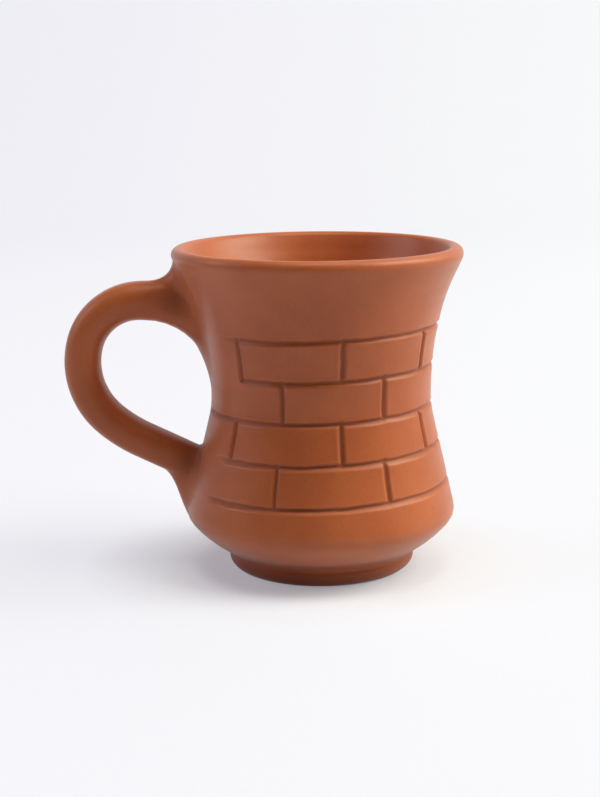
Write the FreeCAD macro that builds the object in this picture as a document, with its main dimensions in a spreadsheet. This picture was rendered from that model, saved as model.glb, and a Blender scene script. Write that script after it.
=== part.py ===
import FreeCAD, Part
import os
from math import atan2, cos, pi, radians, sin, sqrt
import Sketcher
from FreeCAD import Placement, Rotation, Vector

# A wheel-thrown terracotta mug with an ear handle.
# Millimetres.  The origin is the centre of the foot's standing plane, +Z is up along the
# cup's axis, and the handle is on the -X side.

DOCUMENT = FreeCAD.newDocument("terracotta_mug")

# ---------------------------------------------------------------- driving dimensions

SIZES = {
    # the turned form, from the lip down to the base
    "cup_height": 99.6,
    "rim_radius": 44.0,
    "lip_round": 2.3,
    "flare_height": 81.7,
    "upper_round": 100.0,
    "waist_radius": 33.6,
    "waist_height": 54.2,
    "lower_round": 32.0,
    "belly_radius": 41.0,
    "belly_round": 5.0,
    "belly_height": 18.2,
    "under_round": 38.0,
    "wall": 4.0,
    "bowl_round": 14.0,
    "floor_height": 10.4,
    # the foot ring and the slip seam above it
    "foot_height": 6.0,
    "slip_layer": 0.5,
    "foot_radius": 28.7,
    "foot_round": 4.2,
    "foot_bore": 21.0,
    "foot_bore_round": 1.5,
    "seam_round": 2.4,
    # the carved brick courses, counted from the top
    "groove_round": 0.9,
    "groove_depth": 0.6,
    "course_1": 75.5,
    "course_2": 63.2,
    "course_3": 51.0,
    "course_4": 39.1,
    "course_5": 27.2,
    "joint_width": 1.3,
    # the handle's centreline and section
    "handle_rise": 82.85,
    "handle_start": 53.3,
    "handle_reach": 54.5,
    "handle_top_round": 18.0,
    "handle_top_turn": 73.0,
    "handle_back_round": 23.0,
    "handle_back_turn": 66.0,
    "handle_arm_round": 44.5,
    "handle_arm_turn": 15.5,
    "handle_arm_run": 24.5,
    "handle_thickness": 11.0,
    "handle_width": 13.2,
    "handle_squareness": 0.05,
    # the thick butt between the upper end of the handle and the wall
    "butt_round": 20.0,
    "butt_end": 31.0,
    "butt_top_spread": 2.0,
    "butt_side_spread": 1.2,
    # the slip joints at the handle's two ends
    "upper_slip_round": 4.0,
    "lower_slip_round": 5.5,
}

# How far each course stops short of the handle's plane, in degrees; 0 runs all round.
COURSE_GAPS = {"course_1": 35.4, "course_2": 47.5, "course_3": 0.0, "course_4": 29.5, "course_5": 32.1}

# The upright joints of each row, in degrees about the axis from the side opposite the handle.
ROW_JOINTS = {
    ("course_1", "course_2"): (-132.2, -79.3, -31.2, 23.3, 77.7, 132.2),
    ("course_2", "course_3"): (-108.9, -57.1, -1.8, 53.6, 108.9),
    ("course_3", "course_4"): (-136.9, -80.1, -29.7, 25.8, 81.4, 136.9),
    ("course_4", "course_5"): (-110.3, -59.5, -2.9, 53.7, 110.3),
}


def make_sheet(sizes):
    """Write the driving dimensions into a spreadsheet, one named cell each."""
    sheet = DOCUMENT.addObject("Spreadsheet::Sheet", "sizes")
    for row, (alias, value) in enumerate(sizes.items(), start=1):
        sheet.set("A%d" % row, alias)
        sheet.set("B%d" % row, str(value))
        sheet.setAlias("B%d" % row, alias)
    DOCUMENT.recompute()
    return sheet


SHEET = make_sheet(SIZES)


def size(alias):
    """The value of a named cell."""
    return float(SHEET.get(alias))


# ---------------------------------------------------------------- plane geometry

def crossing(centre_a, radius_a, centre_b, radius_b, side):
    """Where two circles cross, on the left (+1) or right (-1) of the line from a to b."""
    across = centre_b - centre_a
    along = (radius_a**2 - radius_b**2 + across.Length**2) / (2 * across.Length)
    off = sqrt(radius_a**2 - along**2)
    unit = across / across.Length
    return centre_a + unit * along + Vector(-unit.y, unit.x) * off * side


def touching_line(centre_a, left_a, centre_b, left_b):
    """The two points where one straight line touches two circles.

    left_a and left_b are the circles' radii, positive for a centre on the left of the line
    and negative for one on its right.
    """
    across = centre_b - centre_a
    unit = across / across.Length
    lean = (left_b - left_a) / across.Length
    normal = unit * lean + Vector(-unit.y, unit.x) * sqrt(1 - lean**2)
    return centre_a - normal * left_a, centre_b - normal * left_b


def touching_round(start, unit, centre, radius):
    """The radius of an arc that starts at a point, is centred along unit and meets a circle.

    The circle lies outside the arc, and the two touch without a crease.
    """
    gap = start - centre
    return (gap.Length**2 - radius**2) / (2 * (radius - unit.dot(gap)))


def towards(origin, target, distance):
    """The point at a distance from origin, in the direction of target."""
    return origin + (target - origin) * (distance / (target - origin).Length)


# ---------------------------------------------------------------- sketches

START = 1
END = 2
CENTRE = 3
ORIGIN = (-1, 1)
VERTICAL_AXIS = -2
SKETCH_NORMAL = Vector(0, 0, 1)


class Outline:
    """A chain of lines and arcs, drawn from point to point in a sketch."""

    def __init__(self, sketch, start):
        self.sketch = sketch
        self.here = start
        self.runs = []

    def add(self, shape, first, last, point, smooth):
        index = self.sketch.addGeometry(shape)
        if self.runs:
            before, _, before_last = self.runs[-1]
            kind = "Tangent" if smooth else "Coincident"
            self.sketch.addConstraint(Sketcher.Constraint(kind, before, before_last, index, first))
        self.runs.append((index, first, last))
        self.here = point
        return index

    def line(self, point, smooth=False):
        return self.add(Part.LineSegment(self.here, point), START, END, point, smooth)

    def arc(self, point, centre, turn, smooth=False):
        """An arc to point about centre; turn is +1 for counter-clockwise, -1 for clockwise."""
        circle = Part.Circle(centre, SKETCH_NORMAL, (point - centre).Length)
        angles = [atan2(end.y - centre.y, end.x - centre.x) for end in (self.here, point)]
        if turn > 0:
            return self.add(Part.ArcOfCircle(circle, *angles), START, END, point, smooth)
        angles.reverse()
        return self.add(Part.ArcOfCircle(circle, *angles), END, START, point, smooth)

    def close(self, smooth=False):
        kind = "Tangent" if smooth else "Coincident"
        last = self.runs[-1]
        first = self.runs[0]
        self.sketch.addConstraint(Sketcher.Constraint(kind, last[0], last[2], first[0], first[1]))


def new_body(label):
    """A sub-part: its label is the name that a person would use for the piece."""
    body = DOCUMENT.addObject("PartDesign::Body", label)
    body.Label = label
    body.Placement = Placement()
    return body


def new_sketch(body, name, role="XZ_Plane", turn=0.0):
    """A sketch on one of its body's own planes, turned about the cup's axis."""
    sketch = body.newObject("Sketcher::SketchObject", name)
    plane = [item for item in body.Origin.OriginFeatures if item.Role == role][0]
    sketch.AttachmentSupport = [(plane, "")]
    sketch.MapMode = "FlatFace"
    sketch.AttachmentOffset = Placement(Vector(), Rotation(Vector(0, 1, 0), turn))
    return sketch


def fix(sketch, kind, *points):
    """Add a geometric constraint, or a dimension whose value comes last."""
    return sketch.addConstraint(Sketcher.Constraint(kind, *points))


def bind(sketch, kind, points, name, expression, value):
    """Add a dimension to a sketch and tie it to the named cells."""
    index = fix(sketch, kind, *points, value)
    sketch.renameConstraint(index, name)
    sketch.setExpression("Constraints." + name, expression)


def bind_round(sketch, geometry, alias):
    """Tie an arc's or a circle's radius to the cell of the same name."""
    bind(sketch, "Radius", (geometry,), alias, "sizes." + alias, size(alias))


def bind_across(sketch, geometry, position, name, expression, value):
    """Tie how far a point is from the vertical axis, towards the sketch's right."""
    bind(sketch, "DistanceX", (*ORIGIN, geometry, position), name, expression, value)


def bind_up(sketch, geometry, position, name, expression, value):
    """Tie how high a point is above the standing plane."""
    bind(sketch, "DistanceY", (*ORIGIN, geometry, position), name, expression, value)


def revolve(body, sketch, kind, name, angle=360.0, midplane=False):
    """Turn a sketch about the cup's axis, to add clay (Revolution) or to cut it (Groove)."""
    feature = body.newObject("PartDesign::" + kind, name)
    feature.Profile = sketch
    feature.ReferenceAxis = (sketch, ["V_Axis"])
    feature.Angle = angle
    feature.Midplane = midplane
    body.Tip = feature
    return feature


# ---------------------------------------------------------------- the cup's outline

def cup_curves():
    """The centres and ends of the outline's curves, worked out from the dimensions."""
    base = Vector(size("foot_radius"), size("foot_height"))
    belly = Vector(size("belly_radius") - size("belly_round"), size("belly_height"))
    lower = Vector(size("waist_radius") + size("lower_round"), size("waist_height"))
    upper = Vector(size("waist_radius") + size("upper_round"), size("waist_height"))
    lip = Vector(size("rim_radius") - size("lip_round"), size("cup_height") - size("lip_round"))
    flank = touching_line(belly, size("belly_round"), lower, -size("lower_round"))
    rise = size("flare_height") - size("waist_height")
    flare_start = upper + Vector(-sqrt(size("upper_round") ** 2 - rise**2), rise)
    unit = (upper - flare_start).normalize()
    flare_round = touching_round(flare_start, unit, lip, size("lip_round"))
    flare = flare_start + unit * flare_round
    under = crossing(base, size("under_round"), belly, size("under_round") - size("belly_round"), 1)
    return {
        "base": base,
        "under": under,
        "belly": belly,
        "lower": lower,
        "upper": upper,
        "flare": flare,
        "flare_round": flare_round,
        "lip": lip,
        "belly_start": towards(under, belly, size("under_round")),
        "flank_start": flank[0],
        "flank_end": flank[1],
        "waist": Vector(size("waist_radius"), size("waist_height")),
        "flare_start": flare_start,
        "lip_start": towards(flare, lip, flare_round),
    }


CURVES = cup_curves()


def outer_radius(height):
    """The outline's radius at a height on the carved band, between belly and flare."""
    rise = height - size("waist_height")
    if rise > 0:
        return CURVES["upper"].x - sqrt(size("upper_round") ** 2 - rise**2)
    if height > CURVES["flank_end"].y:
        return CURVES["lower"].x - sqrt(size("lower_round") ** 2 - rise**2)
    start = CURVES["flank_start"]
    slope = CURVES["flank_end"] - start
    return start.x + slope.x * (height - start.y) / slope.y


def draw_outside(sketch):
    """The outline from the axis out along the base and up to where the lip begins."""
    outline = Outline(sketch, Vector(0, CURVES["base"].y))
    base = outline.line(CURVES["base"])
    under = outline.arc(CURVES["belly_start"], CURVES["under"], 1)
    belly = outline.arc(CURVES["flank_start"], CURVES["belly"], 1, smooth=True)
    flank = outline.line(CURVES["flank_end"], smooth=True)
    lower = outline.arc(CURVES["waist"], CURVES["lower"], -1, smooth=True)
    upper = outline.arc(CURVES["flare_start"], CURVES["upper"], -1, smooth=True)
    flare = outline.arc(CURVES["lip_start"], CURVES["flare"], -1, smooth=True)
    fix(sketch, "Horizontal", base)
    fix(sketch, "PointOnObject", base, START, VERTICAL_AXIS)
    bind_across(sketch, base, END, "base_radius", "sizes.foot_radius", size("foot_radius"))
    bind_up(sketch, base, END, "base_height", "sizes.foot_height", size("foot_height"))
    bind_round(sketch, under, "under_round")
    bind_round(sketch, belly, "belly_round")
    bind_across(sketch, belly, CENTRE, "belly_centre", "sizes.belly_radius - sizes.belly_round",
                CURVES["belly"].x)
    bind_up(sketch, belly, CENTRE, "belly_height", "sizes.belly_height", size("belly_height"))
    bind_round(sketch, lower, "lower_round")
    bind_across(sketch, lower, CENTRE, "lower_centre", "sizes.waist_radius + sizes.lower_round",
                CURVES["lower"].x)
    bind_up(sketch, lower, CENTRE, "waist_height", "sizes.waist_height", size("waist_height"))
    bind_round(sketch, upper, "upper_round")
    bind_up(sketch, upper, CENTRE, "upper_height", "sizes.waist_height", size("waist_height"))
    bind_up(sketch, flare, END, "flare_height", "sizes.flare_height", size("flare_height"))
    return outline, flank, lower, upper, flare


def draw_solid_form(sketch):
    """The cup's outside as if it were solid clay, for what is seated against it."""
    outline, _, _, _, flare = draw_outside(sketch)
    top = CURVES["lip_start"].y
    lid = outline.line(Vector(0, top))
    outline.line(Vector(0, CURVES["base"].y))
    outline.close()
    fix(sketch, "Horizontal", lid)
    fix(sketch, "PointOnObject", lid, END, VERTICAL_AXIS)
    fix(sketch, "DistanceY", *ORIGIN, lid, END, top)
    fix(sketch, "Radius", flare, CURVES["flare_round"])


def draw_wall(sketch):
    """The cup's wall: the outside, the lip's round bead, the inside and the floor."""
    outline, flank, lower, upper, _ = draw_outside(sketch)
    wall = size("wall")
    flare_round = CURVES["flare_round"] + wall
    upper_round = size("upper_round") + wall
    lower_round = size("lower_round") + wall
    flare = crossing(CURVES["upper"], upper_round - flare_round,
                     CURVES["lip"], flare_round - size("lip_round"), 1)
    lip_end = towards(flare, CURVES["lip"], flare_round)
    flare_end = towards(CURVES["upper"], flare, upper_round)
    waist = CURVES["waist"] - Vector(wall, 0)
    flank_end = towards(CURVES["lower"], CURVES["flank_end"], lower_round)
    upwards = (CURVES["flank_end"] - CURVES["flank_start"]).normalize()
    inwards = Vector(-upwards.y, upwards.x) * size("bowl_round")
    bowl_height = size("floor_height") + size("bowl_round")
    flank_start = flank_end + upwards * ((bowl_height - flank_end.y - inwards.y) / upwards.y)
    bowl = flank_start + inwards
    floor_edge = Vector(bowl.x, size("floor_height"))

    lip = outline.arc(lip_end, CURVES["lip"], 1, smooth=True)
    inner_flare = outline.arc(flare_end, flare, 1, smooth=True)
    inner_upper = outline.arc(waist, CURVES["upper"], 1, smooth=True)
    inner_lower = outline.arc(flank_end, CURVES["lower"], 1, smooth=True)
    inner_flank = outline.line(flank_start, smooth=True)
    bowl_arc = outline.arc(floor_edge, bowl, -1, smooth=True)
    floor_line = outline.line(Vector(0, floor_edge.y), smooth=True)
    outline.line(Vector(0, CURVES["base"].y))
    outline.close()

    bind_round(sketch, lip, "lip_round")
    bind_across(sketch, lip, CENTRE, "lip_centre", "sizes.rim_radius - sizes.lip_round",
                CURVES["lip"].x)
    bind_up(sketch, lip, CENTRE, "lip_height", "sizes.cup_height - sizes.lip_round",
            CURVES["lip"].y)
    fix(sketch, "Radius", inner_flare, flare_round)
    fix(sketch, "Coincident", inner_upper, CENTRE, upper, CENTRE)
    fix(sketch, "Coincident", inner_lower, CENTRE, lower, CENTRE)
    bind(sketch, "Radius", (inner_lower,), "inner_lower", "sizes.lower_round + sizes.wall",
         lower_round)
    fix(sketch, "Parallel", inner_flank, flank)
    bind_round(sketch, bowl_arc, "bowl_round")
    fix(sketch, "PointOnObject", floor_line, END, VERTICAL_AXIS)
    fix(sketch, "Horizontal", floor_line)
    bind_up(sketch, floor_line, END, "floor_height", "sizes.floor_height", size("floor_height"))


# ---------------------------------------------------------------- the thrown cup

def carve_course(body, course):
    """A level mortar line: a round-bottomed groove that stops short of the handle."""
    height = size(course)
    centre = Vector(outer_radius(height) + size("groove_round") - size("groove_depth"), height)
    sketch = new_sketch(body, course + "_section")
    circle = sketch.addGeometry(Part.Circle(centre, SKETCH_NORMAL, size("groove_round")))
    bind_round(sketch, circle, "groove_round")
    bind_up(sketch, circle, CENTRE, "height", "sizes." + course, height)
    fix(sketch, "DistanceX", *ORIGIN, circle, CENTRE, centre.x)
    revolve(body, sketch, "Groove", course + "_groove", 360 - 2 * COURSE_GAPS[course], True)


def carve_joint(body, name, upper_course, lower_course, azimuth):
    """An upright mortar joint: a slot of even depth from one course to the next."""
    heights = (size(lower_course), (size(lower_course) + size(upper_course)) / 2, size(upper_course))
    bottom, middle, top = heights
    roots = [Vector(outer_radius(height) - size("groove_depth"), height) for height in heights]
    clear = outer_radius(middle) + 2 * size("groove_round")
    sketch = new_sketch(body, name + "_section", turn=azimuth)
    outline = Outline(sketch, roots[0])
    if top < CURVES["flank_end"].y:
        outline.line(roots[2])
        ends = (END, START)
    else:
        root_circle = Part.Circle(*roots)
        root = outline.arc(roots[2], root_circle.Center, -1)
        fix(sketch, "Radius", root, root_circle.Radius)
        ends = (START, END)
    root = outline.runs[0][0]
    outline.line(Vector(clear, top))
    face = outline.line(Vector(clear, bottom))
    outline.line(roots[0])
    outline.close()
    fix(sketch, "Vertical", face)
    fix(sketch, "DistanceX", *ORIGIN, face, START, clear)
    fix(sketch, "DistanceX", *ORIGIN, root, ends[0], roots[2].x)
    fix(sketch, "DistanceX", *ORIGIN, root, ends[1], roots[0].x)
    for geometry, upper, lower in ((root, *ends), (face, START, END)):
        side = "root" if geometry == root else "face"
        bind_up(sketch, geometry, upper, side + "_top", "sizes." + upper_course, top)
        bind_up(sketch, geometry, lower, side + "_bottom", "sizes." + lower_course, bottom)
    groove = revolve(body, sketch, "Groove", name + "_slot", midplane=True)
    groove.setExpression("Angle", "sizes.joint_width / %.3f * 180 / pi" % outer_radius(middle))


def make_cup_body():
    """The thrown and turned wall with its floor and lip, carved with brick courses."""
    body = new_body("cup_body")
    sketch = new_sketch(body, "wall_outline")
    draw_wall(sketch)
    revolve(body, sketch, "Revolution", "thrown_wall")
    for course in COURSE_GAPS:
        carve_course(body, course)
    for row, (courses, azimuths) in enumerate(ROW_JOINTS.items(), start=1):
        for number, azimuth in enumerate(azimuths, start=1):
            carve_joint(body, "row_%d_joint_%d" % (row, number), *courses, azimuth)
    return body


# ---------------------------------------------------------------- the foot

def make_foot_ring():
    """The turned ring that the cup stands on, luted to the flat base."""
    body = new_body("foot_ring")
    sketch = new_sketch(body, "ring_outline")
    outer = size("foot_radius")
    bore = size("foot_bore")
    top = size("foot_height") - size("slip_layer")
    rounding = size("foot_round")
    bore_round = size("foot_bore_round")
    outline = Outline(sketch, Vector(bore + bore_round, 0))
    tread = outline.line(Vector(outer - rounding, 0))
    heel = outline.arc(Vector(outer, rounding), Vector(outer - rounding, rounding), 1, smooth=True)
    outline.line(Vector(outer, top), smooth=True)
    seat = outline.line(Vector(bore, top))
    inside = outline.line(Vector(bore, bore_round))
    edge = outline.arc(Vector(bore + bore_round, 0), Vector(bore + bore_round, bore_round), 1,
                       smooth=True)
    outline.close(smooth=True)
    fix(sketch, "Horizontal", tread)
    fix(sketch, "PointOnObject", tread, START, -1)
    fix(sketch, "Horizontal", seat)
    fix(sketch, "Vertical", inside)
    bind_round(sketch, heel, "foot_round")
    bind_round(sketch, edge, "foot_bore_round")
    bind_across(sketch, seat, START, "foot_radius", "sizes.foot_radius", outer)
    bind_across(sketch, seat, END, "foot_bore", "sizes.foot_bore", bore)
    bind_up(sketch, seat, START, "seat_height", "sizes.foot_height - sizes.slip_layer", top)
    fix(sketch, "DistanceX", *ORIGIN, heel, CENTRE, outer - rounding)
    revolve(body, sketch, "Revolution", "turned_ring")
    return body


def make_foot_seam():
    """The slip that lutes the ring to the base, wiped into a cove where it squeezes out."""
    body = new_body("foot_slip_seam")
    sketch = new_sketch(body, "seam_outline")
    corner = CURVES["base"]
    bore = size("foot_bore")
    under = corner.y - size("slip_layer")
    belly = CURVES["under"]
    rounding = size("seam_round")
    across = corner.x + rounding - belly.x
    reach = size("under_round") + rounding
    centre = Vector(corner.x + rounding, belly.y - sqrt(reach**2 - across**2))
    low = Vector(corner.x, centre.y)
    high = towards(belly, centre, size("under_round"))
    outline = Outline(sketch, Vector(bore, under))
    layer = outline.line(Vector(corner.x, under))
    wall_leg = outline.line(low)
    cove = outline.arc(high, centre, -1, smooth=True)
    belly_leg = outline.arc(corner, belly, -1, smooth=True)
    lid = outline.line(Vector(bore, corner.y))
    inside = outline.line(Vector(bore, under))
    outline.close()
    fix(sketch, "Horizontal", layer)
    fix(sketch, "Vertical", wall_leg)
    fix(sketch, "Horizontal", lid)
    fix(sketch, "Vertical", inside)
    bind_round(sketch, cove, "seam_round")
    bind_across(sketch, layer, END, "foot_radius", "sizes.foot_radius", corner.x)
    bind_across(sketch, layer, START, "foot_bore", "sizes.foot_bore", bore)
    bind_up(sketch, layer, START, "layer_height", "sizes.foot_height - sizes.slip_layer", under)
    bind_up(sketch, lid, START, "foot_height", "sizes.foot_height", corner.y)
    bind_across(sketch, lid, START, "corner_radius", "sizes.foot_radius", corner.x)
    bind_round(sketch, belly_leg, "under_round")
    fix(sketch, "DistanceX", *ORIGIN, belly_leg, CENTRE, belly.x)
    revolve(body, sketch, "Revolution", "wiped_seam")
    return body


# ---------------------------------------------------------------- the handle

def draw_ear(sketch):
    """The handle's centreline: straight out of the wall, three arcs, and a straight arm."""
    rise = size("handle_rise")
    outline = Outline(sketch, Vector(-size("handle_start"), rise))
    stub = outline.line(Vector(-size("handle_reach"), rise))
    fix(sketch, "Horizontal", stub)
    bind(sketch, "DistanceX", (stub, START, *ORIGIN), "handle_start", "sizes.handle_start",
         size("handle_start"))
    bind(sketch, "DistanceX", (stub, END, *ORIGIN), "handle_reach", "sizes.handle_reach",
         size("handle_reach"))
    bind_up(sketch, stub, START, "handle_rise", "sizes.handle_rise", rise)
    heading = pi
    for part in ("top", "back", "arm"):
        rounding = size("handle_%s_round" % part)
        turn = radians(size("handle_%s_turn" % part))
        centre = outline.here + Vector(-sin(heading), cos(heading)) * rounding
        heading += turn
        end = centre + Vector(sin(heading), -cos(heading)) * rounding
        arc = outline.arc(end, centre, 1, smooth=True)
        bind_round(sketch, arc, "handle_%s_round" % part)
        name = "handle_%s_turn" % part
        bind(sketch, "Angle", (arc,), name, "sizes.%s * 1 deg" % name, turn)
    run = size("handle_arm_run")
    arm = outline.line(outline.here + Vector(cos(heading), sin(heading)) * run, smooth=True)
    bind(sketch, "Distance", (arm,), "handle_arm_run", "sizes.handle_arm_run", run)


OVAL_POINTS = 8


def draw_oval(sketch, height, half_tall, half_wide):
    """A section of the handle: a closed curve, a little squarer than an ellipse."""
    points = []
    for step in range(OVAL_POINTS):
        angle = 2 * pi * step / OVAL_POINTS
        fullness = 1 + size("handle_squareness") * sin(2 * angle) ** 2
        spoke = Vector(half_wide * sin(angle), half_tall * cos(angle)) * fullness
        points.append(Vector(0, height) + spoke)
    oval = Part.BSplineCurve()
    oval.interpolate(Points=points, PeriodicFlag=True)
    fix(sketch, "Block", sketch.addGeometry(oval))


def butt_sections(body):
    """The sections of the butt, from the strap's own section to inside the wall.

    The underside sinks along an arc, so that the butt grows taller towards the wall, and
    the top and the sides spread a little with it.
    """
    half_tall = size("handle_thickness") / 2
    half_wide = size("handle_width") / 2
    rounding = size("butt_round")
    centre = Vector(-size("handle_start"), size("handle_rise") - half_tall - rounding)
    angles = (90, 70, 50, 34, 20)
    sketches = []
    for step, angle in enumerate(angles):
        spread = (step / (len(angles) - 1)) ** 2
        across = centre.x + rounding * cos(radians(angle))
        under = centre.y + rounding * sin(radians(angle))
        over = size("handle_rise") + half_tall + size("butt_top_spread") * spread
        if angle == angles[-1]:
            across = -size("butt_end")
        sketch = new_sketch(body, "butt_section_%d" % (step + 1), role="YZ_Plane")
        sketch.AttachmentOffset = Placement(Vector(0, 0, across), Rotation())
        draw_oval(sketch, (over + under) / 2, (over - under) / 2,
                  half_wide + size("butt_side_spread") * spread)
        sketches.append(sketch)
    sketches[0].setExpression(".AttachmentOffset.Base.z", "-sizes.handle_start")
    sketches[-1].setExpression(".AttachmentOffset.Base.z", "-sizes.butt_end")
    return sketches


def make_handle():
    """The pulled ear handle, its ends cut to the cup's own curve so that they seat on it."""
    body = new_body("handle")
    sections = butt_sections(body)
    butt = body.newObject("PartDesign::AdditiveLoft", "thick_butt")
    butt.Profile = sections[0]
    butt.Sections = sections[1:]
    body.Tip = butt
    ear = new_sketch(body, "ear_centreline")
    draw_ear(ear)
    strap = body.newObject("PartDesign::AdditivePipe", "pulled_strap")
    strap.Profile = sections[0]
    strap.Spine = (ear, [])
    body.Tip = strap
    seats = new_sketch(body, "seat_outline")
    draw_solid_form(seats)
    revolve(body, seats, "Groove", "wall_seats")
    return body


# ---------------------------------------------------------------- the slip joints

TOUCHING = 1e-4


def make_smooth_cup():
    """The cup before it is carved, which the slip is wiped against."""
    body = new_body("smooth_cup")
    sketch = new_sketch(body, "smooth_outline")
    draw_wall(sketch)
    revolve(body, sketch, "Revolution", "smooth_wall")
    return body


def seam_edges(joined, parts, low, high):
    """The numbers of the edges where the two parts of a union meet, between two heights."""
    numbers = []
    for number, edge in enumerate(joined.Shape.Edges, start=1):
        middle = edge.valueAt((edge.FirstParameter + edge.LastParameter) / 2)
        gaps = [min(Part.Vertex(middle).distToShape(face)[0] for face in part.Shape.Faces)
                for part in parts]
        if low < middle.z < high and middle.x < 0 and max(gaps) < TOUCHING:
            numbers.append(number)
    return numbers


def make_slip_joint(label, joined, cup, handle, low, high):
    """The fillet of slip wiped round one end of the handle.

    It is what a rounding of the corner between the handle and the wall adds to them.
    """
    rounding = size(label.replace("joint", "round"))
    blend = DOCUMENT.addObject("Part::Fillet", label + "_rounding")
    blend.Base = joined
    blend.Edges = [(number, rounding, rounding) for number in seam_edges(joined, (cup, handle), low, high)]
    less_cup = DOCUMENT.addObject("Part::Cut", label + "_less_cup")
    less_cup.Base = blend
    less_cup.Tool = cup
    slip = DOCUMENT.addObject("Part::Cut", label)
    slip.Base = less_cup
    slip.Tool = handle
    slip.Label = label
    return slip


# ---------------------------------------------------------------- the whole mug

def make_mug():
    """Every piece of the mug, in the order in which a potter would make and join them."""
    cup_body = make_cup_body()
    foot_ring = make_foot_ring()
    foot_seam = make_foot_seam()
    handle = make_handle()
    smooth_cup = make_smooth_cup()
    joined = DOCUMENT.addObject("Part::Fuse", "cup_and_handle")
    joined.Base = smooth_cup
    joined.Tool = handle
    DOCUMENT.recompute()
    middle = size("waist_height")
    upper_slip = make_slip_joint("upper_slip_joint", joined, smooth_cup, handle,
                                 middle, size("cup_height"))
    lower_slip = make_slip_joint("lower_slip_joint", joined, smooth_cup, handle, 0.0, middle)
    DOCUMENT.recompute()
    return [cup_body, foot_ring, foot_seam, handle, upper_slip, lower_slip]


def check(pieces):
    """Stop if any object failed, or any piece isn't one sound solid."""
    for item in DOCUMENT.Objects:
        if "Invalid" in item.State or "Error" in item.State:
            raise RuntimeError("%s failed: %s" % (item.Name, item.State))
    for piece in pieces:
        shape = piece.Shape
        if shape.isNull() or not shape.isValid() or len(shape.Solids) != 1:
            raise RuntimeError("%s isn't one sound solid" % piece.Label)
        print("%-18s %9.1f mm3, %3d faces" % (piece.Label, shape.Volume, len(shape.Faces)))


def export(pieces):
    """Write each piece to a file of its own name."""
    os.makedirs("parts", exist_ok=True)
    for piece in pieces:
        piece.Shape.exportStep(os.path.join("parts", piece.Label + ".step"))


MUG = make_mug()
check(MUG)
export(MUG)
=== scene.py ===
# %% [markdown]
# A terracotta mug, dressed for its portrait.
# The mug was thrown on a wheel, turned to a waist, carved with brick courses while it was
# leather hard, given a foot ring and a pulled ear handle, and fired without a glaze.  The
# frame already holds each piece of clay at its real size.  Here each one gets the softness
# of hands and slip, and the colour of fired clay.

# %% Load the frame
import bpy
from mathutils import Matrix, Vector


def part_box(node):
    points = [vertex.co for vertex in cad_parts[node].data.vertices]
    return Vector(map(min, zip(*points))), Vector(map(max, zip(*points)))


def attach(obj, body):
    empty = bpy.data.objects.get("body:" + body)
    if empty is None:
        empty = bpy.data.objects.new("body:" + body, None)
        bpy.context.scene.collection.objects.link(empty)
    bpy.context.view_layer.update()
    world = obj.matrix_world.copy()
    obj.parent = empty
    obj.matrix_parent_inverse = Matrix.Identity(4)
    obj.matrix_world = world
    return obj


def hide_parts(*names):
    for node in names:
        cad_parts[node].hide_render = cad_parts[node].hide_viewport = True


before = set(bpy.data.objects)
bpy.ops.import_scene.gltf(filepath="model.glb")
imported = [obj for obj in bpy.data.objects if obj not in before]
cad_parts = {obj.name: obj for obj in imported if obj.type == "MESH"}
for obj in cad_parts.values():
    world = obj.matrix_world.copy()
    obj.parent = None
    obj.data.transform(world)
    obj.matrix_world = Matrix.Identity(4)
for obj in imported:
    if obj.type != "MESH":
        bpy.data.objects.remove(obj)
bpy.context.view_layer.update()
print("frame:", sorted(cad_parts))

# %% [markdown]
# The outline of the cup is what the potter's rib leaves: a full curve under the belly, a round
# belly, a straight flank, a waist and a flared lip.  It could be drawn by eye, but curves
# that touch each other shade better than a hand-placed line, so the outside is one function
# from height to radius, made of circles and one straight run.  Everything that sits on the
# wall, such as the mortar lines and the slip, asks this function where the wall is.

# %% The cup's outline
from math import atan2, cos, degrees, exp, hypot, pi, radians, sin, sqrt

import bmesh
import bpy
from mathutils import Quaternion, Vector, noise

MM = 0.001
BASE_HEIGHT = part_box("cup_body")[0].z
CUP_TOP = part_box("cup_body")[1].z
RIM_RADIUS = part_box("cup_body")[1].y
BASE_RADIUS = 28.7 * MM
WALL = 4.0 * MM
LIP_ROUND = 2.3 * MM
LIP = Vector((RIM_RADIUS - LIP_ROUND, CUP_TOP - LIP_ROUND))
WAIST_HEIGHT = 54.2 * MM
FLARE_START = 81.7 * MM
FLARE, FLARE_ROUND = Vector((96.336, 64.859)) * MM, 61.24 * MM
UPPER, UPPER_ROUND = Vector((133.6, 54.2)) * MM, 100.0 * MM
LOWER, LOWER_ROUND = Vector((65.6, 54.2)) * MM, 32.0 * MM
FLANK_TOP = Vector((34.44, 46.94)) * MM
FLANK_FOOT = Vector((40.87, 19.33)) * MM
BELLY, BELLY_ROUND = Vector((36.0, 18.2)) * MM, 5.0 * MM
UNDER, UNDER_ROUND = Vector((10.821, 39.531)) * MM, 38.0 * MM
BELLY_START = Vector((39.815, 14.968)) * MM
LIP_START = 96.13 * MM


def drawn_in(height, centre, rounding):
    """The radius of a wall that curves about a centre outside it."""
    return centre.x - sqrt(rounding**2 - (height - centre.y) ** 2)


def straight(height, low, high):
    """The radius at a height on a straight run between two points."""
    return low.x + (high.x - low.x) * (height - low.y) / (high.y - low.y)


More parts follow.
